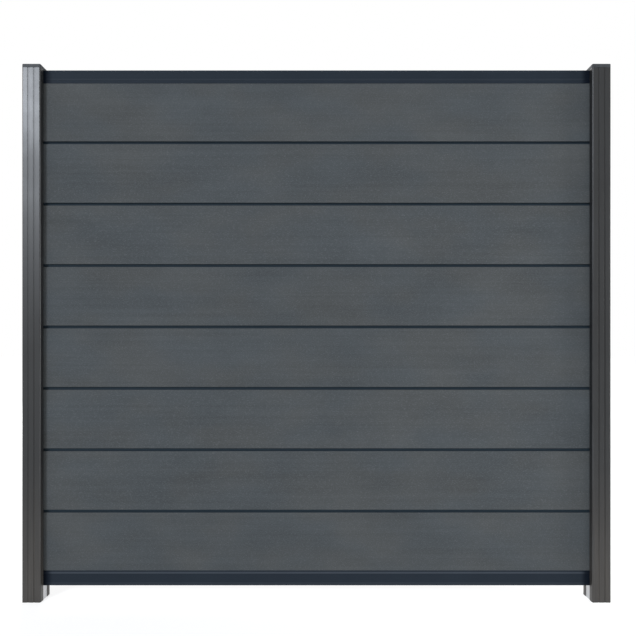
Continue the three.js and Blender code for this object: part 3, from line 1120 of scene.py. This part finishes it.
@dataclass(frozen=True)
class BottomRail(Rail):
    """The rail that carries the lowest board: a flange, a band that lies back, and a bead below the board."""

    height: float = 48.0
    flange: float = 10.5
    bead: float = 7.5
    lip: float = 3.0  # from the bead to the top of the rail
    board_seat: float = 0.3  # from the channel's floor to the board
    strips_part: ClassVar[float] = 20.0
    strip_highlight: ClassVar[tuple[float, float]] = (0.25, 1.0)
    node_name: ClassVar[str] = "bottom_rail"

    def section(self) -> Section:
        """Gives the rail's section: flange, band, bead, lip, and the channel inside the lips.

        Returns:
            The cross-section, with v = 0 at the rail's foot.
        """
        half, band, channel = self.depth / 2, self.depth / 2 - self.recess, self.channel / 2
        floor = self.height - self.lap - self.board_seat
        bead = self.height - self.lip - self.bead
        outer, inner = self.lip_edge
        strips = (
            (half, self.flange - self.recess),
            (band, self.flange),
            (band, bead),
            (half, bead + self.recess),
            (half, bead + self.bead - self.recess),
            (band, bead + self.bead),
        )
        lips = (Corner(band, self.height, outer), Corner(channel, self.height, inner))
        outside = [Corner(half, 0, self.arris), *(Corner(u, v, self.root) for u, v in strips), *lips]
        inside = band - self.wall
        chamber = rectangle(-inside, self.wall, inside, floor - self.wall, self.chamber_radius)
        return Section(mirrored([*outside, Corner(channel, floor, self.root)]), [chamber])


@dataclass(frozen=True)
class TopRail(Rail):
    """The rail that covers the top board: lips over its faces, a bead above them, and a flange on top."""

    height: float = 42.0
    flange: float = 8.0
    seat: float = 21.5  # height of the channel
    bead: tuple[float, float] = (8.5, 15.0)  # where it starts and ends above the rail's lower edge
    strips_part: ClassVar[float] = 25.0
    strip_highlight: ClassVar[tuple[float, float]] = (0.2, 0.1)
    node_name: ClassVar[str] = "top_rail"
    body_name: ClassVar[str] = "top_rail"

    def section(self) -> Section:
        """Gives the rail's section: the channel, lips, bead, band and flange.

        Returns:
            The cross-section, with v = 0 at the rail's foot.
        """
        half, band, channel = self.depth / 2, self.depth / 2 - self.recess, self.channel / 2
        flange = self.height - self.flange
        start, end = self.bead
        outer, inner = self.lip_edge
        strips = (
            (band, start),
            (half, start + self.recess),
            (half, end - self.recess),
            (band, end),
            (band, flange),
            (half, flange + self.recess),
        )
        lips = (Corner(channel, self.seat, self.root), Corner(channel, 0, inner), Corner(band, 0, outer))
        outside = [*lips, *(Corner(u, v, self.root) for u, v in strips)]
        inside, foot = band - self.wall, self.seat + self.wall
        chamber = rectangle(-inside, foot, inside, self.height - self.wall, self.chamber_radius)
        return Section(mirrored([*outside, Corner(half, self.height, self.arris)]), [chamber])


@dataclass(frozen=True)
class Board(Extrusion):
    """A hollow board with a groove below, a tongue above and five chambers along its inside."""

    number: int
    thickness: float = 20.0
    face: float = 191.5
    edge: float = 1.8
    groove_width: float = 9.5
    groove_depth: float = 10.0
    tongue_thickness: float = 8.0
    tongue_height: float = 18.2
    tongue_lead: float = 1.5
    tongue_arris: float = 0.8
    lip_arris: float = 0.5  # of the groove's lips and of the tongue's foot
    groove_root: float = 0.6
    brushed_edge: float = 0.7  # how far the brush reaches round the edge of a face
    chambers: int = 5
    shell: float = 4.8
    web: float = 5.0
    chamber_radius: float = 2.5
    along: ClassVar[Along] = Along.LENGTH
    made: ClassVar[str] = "brushed"
    finish: ClassVar[Finish] = COMPOSITE
    node_name: ClassVar[str] = "board_{part.number}"
    body_name: ClassVar[str] = "board_{part.number}"

    def section(self) -> Section:
        """Gives the board's section: groove, faces, tongue and chambers.

        Returns:
            The cross-section, with v = 0 at the board's lower edge.
        """
        half, groove, tongue = self.thickness / 2, self.groove_width / 2, self.tongue_thickness / 2
        top = self.face + self.tongue_height
        outside = mirrored(
            [
                Corner(groove, self.groove_depth, self.groove_root),
                Corner(groove, 0, self.lip_arris),
                Corner(half, 0, self.edge),
                Corner(half, self.face, self.edge),
                Corner(tongue, self.face, self.lip_arris),
                Corner(tongue, top - self.tongue_lead, self.tongue_arris),
                Corner(tongue - self.tongue_lead, top, self.tongue_arris),
            ]
        )
        lowest = self.groove_depth + self.shell
        room = self.face - self.shell - lowest - (self.chambers - 1) * self.web
        height, inside = room / self.chambers, half - self.shell
        feet = [lowest + i * (height + self.web) for i in range(self.chambers)]
        return Section(
            outside, [rectangle(-inside, foot, inside, foot + height, self.chamber_radius) for foot in feet]
        )

    def shape(self) -> Object:
        """Extrudes the board, and marks the faces that are brushed.

        Returns:
            The piece, in the scene.
        """
        piece = super().shape()
        low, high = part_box(self.node)
        middle, face = (low.y + high.y) / 2, (self.thickness / 2 - self.brushed_edge) * MM
        mark(piece, BRUSHED, lambda place: abs(place.y - middle) > face)
        return piece


# ---- The studio ----


@dataclass(frozen=True)
class Softbox:
    """A softbox: where it stands, what it points at, its size in metres, its power and its colour."""

    name: str
    stand: tuple[float, float, float]
    target: tuple[float, float, float]
    width: float
    height: float
    watts: float
    colour: str

    def build(self) -> Object:
        """Hangs the softbox.

        Returns:
            The lamp, in the scene.
        """
        light = bpy.data.lights.new(self.name, "AREA")
        light.shape = "RECTANGLE"
        light.size, light.size_y = self.width, self.height
        light.energy = self.watts
        light.color = linear(self.colour)[:3]
        lamp = bpy.data.objects.new(self.name, light)
        lamp.location = self.stand
        lamp.rotation_euler = (Vector(self.target) - Vector(self.stand)).to_track_quat("-Z", "Y").to_euler()
        bpy.context.scene.collection.objects.link(lamp)
        return lamp


@dataclass(frozen=True)
class Studio:
    """A white studio: the camera, a white floor, an even dome of light and four softboxes."""

    eye: tuple[float, float] = (0.005, 0.829)  # the camera's place across and its height
    distance: float = 1.65  # from the posts' front faces
    front: float = -0.030
    pixel: float = 3.217  # millimetres of the posts' front plane to a pixel
    horizon: float = 345.0  # the image's row at the camera's height
    image: int = 636
    dome: float = 0.43
    floor_rings: tuple[float, ...] = (0.8, 4.0, 16.0, 40.0)  # radii of the rings of the floor's mesh
    floor_facets: int = 64
    floor_colour: str = "#f0f0ef"
    floor_base: str = "#b4b4b4"  # what stays of it under its glow, where it is seen
    floor_drop: float = 0.3  # millimetres that the floor lies below the posts' feet
    stipple: float = 6.0  # millimetres between the marks of the roller
    glow_near: float = 0.7  # light that the floor adds by itself where it is seen, near the screen
    glow_far: float = 0.82
    glow_reach: tuple[float, float] = (1.2, 7.0)  # distances between which it goes from near to far
    softboxes: tuple[Softbox, ...] = (
        Softbox("key_softbox", (-9.98, -16.2, 9.1), (-0.4, 0.0, 1.2), 4.8, 5.6, 2500.0, "#eef5ff"),
        Softbox("side_softbox", (3.1, -0.4, 1.1), (0.0, -0.02, 0.9), 0.5, 1.8, 60.0, "#ffffff"),
        Softbox("low_softbox", (0.0, -1.6, 0.12), (0.0, 0.0, 0.25), 2.2, 0.24, 2.8, "#ffffff"),
        Softbox("rear_softbox", (-2.6, 5.6, 3.0), (0.0, 0.0, 0.9), 2.6, 2.6, 210.0, "#ffffff"),
    )

    def place_camera(self) -> Object:
        """Stands the camera at the photograph's viewpoint: level, before the screen's middle.

        Returns:
            The camera, as the scene's own.
        """
        lens = bpy.data.cameras.new("camera")
        lens.sensor_width = 36.0
        lens.lens = lens.sensor_width * self.distance / (self.pixel * MM * self.image)
        lens.shift_y = (self.horizon - self.image / 2) / self.image
        camera = bpy.data.objects.new("camera", lens)
        camera.location = (self.eye[0], self.front - self.distance, self.eye[1])
        camera.rotation_euler = (math.radians(90), 0, 0)
        bpy.context.scene.collection.objects.link(camera)
        bpy.context.scene.camera = camera
        return camera

    def seen(self, tree: NodeTree) -> Node:
        """Adds what tells the camera, reflections and transmission from the light that falls on things.

        Args:
            tree: The node tree of the world or of the floor.

        Returns:
            The node that gives 1 where something is seen, directly or in a reflection.
        """
        path = add_node(tree, "LightPath").outputs
        sharp = add_node(tree, "Math", MAXIMUM, {0: path["Is Camera Ray"], 1: path["Is Glossy Ray"]})
        return add_node(tree, "Math", MAXIMUM, {0: sharp, 1: path["Is Transmission Ray"]})

    def raise_dome(self) -> None:
        """Makes the world an even dome of light, which is plain white where it is seen."""
        world = bpy.data.worlds.new("studio_dome")
        world.use_nodes = True
        tree = world.node_tree
        tree.nodes.clear()
        light, white = (
            add_node(tree, "Background", sockets={"Color": linear("#ffffff"), "Strength": strength})
            for strength in (self.dome, 1.0)
        )
        dome = add_node(tree, "MixShader", sockets={0: self.seen(tree), 1: light, 2: white})
        add_node(tree, "OutputWorld", sockets={"Surface": dome})
        bpy.context.scene.world = world

    def floor_finish(self) -> Material:
        """Makes the floor's paint: matt white with a roller's faint stipple, which keeps the screen's shadow.

        Returns:
            The paint's material.
        """
        paint = bpy.data.materials.new("matt_white_floor_paint")
        paint.use_nodes = True
        tree = paint.node_tree
        tree.nodes.clear()
        place = add_node(tree, "TexCoord").outputs["Object"]
        fine = 1 / (self.stipple * MM)
        stipple = add_node(tree, "TexNoise", sockets={"Vector": place, "Scale": fine, "Detail": 3.0})
        relief = add_node(tree, "Bump", sockets={"Strength": 0.3, "Distance": 0.2 * MM, "Height": stipple})
        matt, base = (
            add_node(tree, "BsdfDiffuse", sockets={"Color": linear(colour), "Normal": relief})
            for colour in (self.floor_colour, self.floor_base)
        )
        away = add_node(tree, "VectorMath", {"operation": "LENGTH"}, {0: place}).outputs["Value"]
        near, far = self.glow_reach
        reach = {"From Min": near, "From Max": far, "To Min": self.glow_near, "To Max": self.glow_far}
        lift = add_node(tree, "MapRange", SMOOTH, {"Value": away} | reach)
        glow = add_node(tree, "Emission", sockets={"Color": linear("#ffffff"), "Strength": lift})
        lifted = add_node(tree, "AddShader", sockets={0: base, 1: glow})
        shown = add_node(tree, "MixShader", sockets={0: self.seen(tree), 1: matt, 2: lifted})
        add_node(tree, "OutputMaterial", sockets={"Surface": shown})
        return paint

    def lay_floor(self) -> Object:
        """Lays a round floor under the screen.

        Returns:
            The floor, in the scene.
        """
        form = bmesh.new()
        turns = [2 * math.pi * i / self.floor_facets for i in range(self.floor_facets)]
        rings = []
        for reach in self.floor_rings:
            spots = [(reach * math.cos(a), reach * math.sin(a), -self.floor_drop * MM) for a in turns]
            rings.append([form.verts.new(spot) for spot in spots])
        form.faces.new(rings[0])
        for inner, outer in zip(rings, rings[1:]):
            for i in range(self.floor_facets):
                form.faces.new((inner[i - 1], outer[i - 1], outer[i], inner[i]))
        mesh = bpy.data.meshes.new("studio_floor")
        form.to_mesh(mesh)
        form.free()
        floor = bpy.data.objects.new("studio_floor", mesh)
        bpy.context.scene.collection.objects.link(floor)
        floor.data.materials.append(self.floor_finish())
        return floor

    def build(self) -> None:
        """Lights the studio and lays its floor."""
        bpy.context.scene.view_settings.view_transform = "Standard"
        self.raise_dome()
        self.lay_floor()
        for softbox in self.softboxes:
            softbox.build()


def main() -> None:
    """Builds and dresses the screen piece by piece, and the studio around it."""
    logging.basicConfig(level=logging.INFO, format="%(name)s: %(message)s")
    studio = Studio()
    studio.place_camera()
    parts: list[Part] = []
    for side in Side:
        parts += [Post(side), *(SlotSeal(side, face) for face in Face), RailSupport(side)]
    parts += [BottomRail(), *(Board(number) for number in range(1, BOARDS + 1)), TopRail()]
    parts += [PostCap(side) for side in Side]
    for part in parts:
        piece = part.build()
        part.dress(piece)
        size = " x ".join(f"{edge / MM:.1f}" for edge in piece.dimensions)
        log.info("%s: %s mm, %d faces", piece.name, size, len(piece.data.polygons))
    studio.build()


if __name__ == "__main__":
    main()
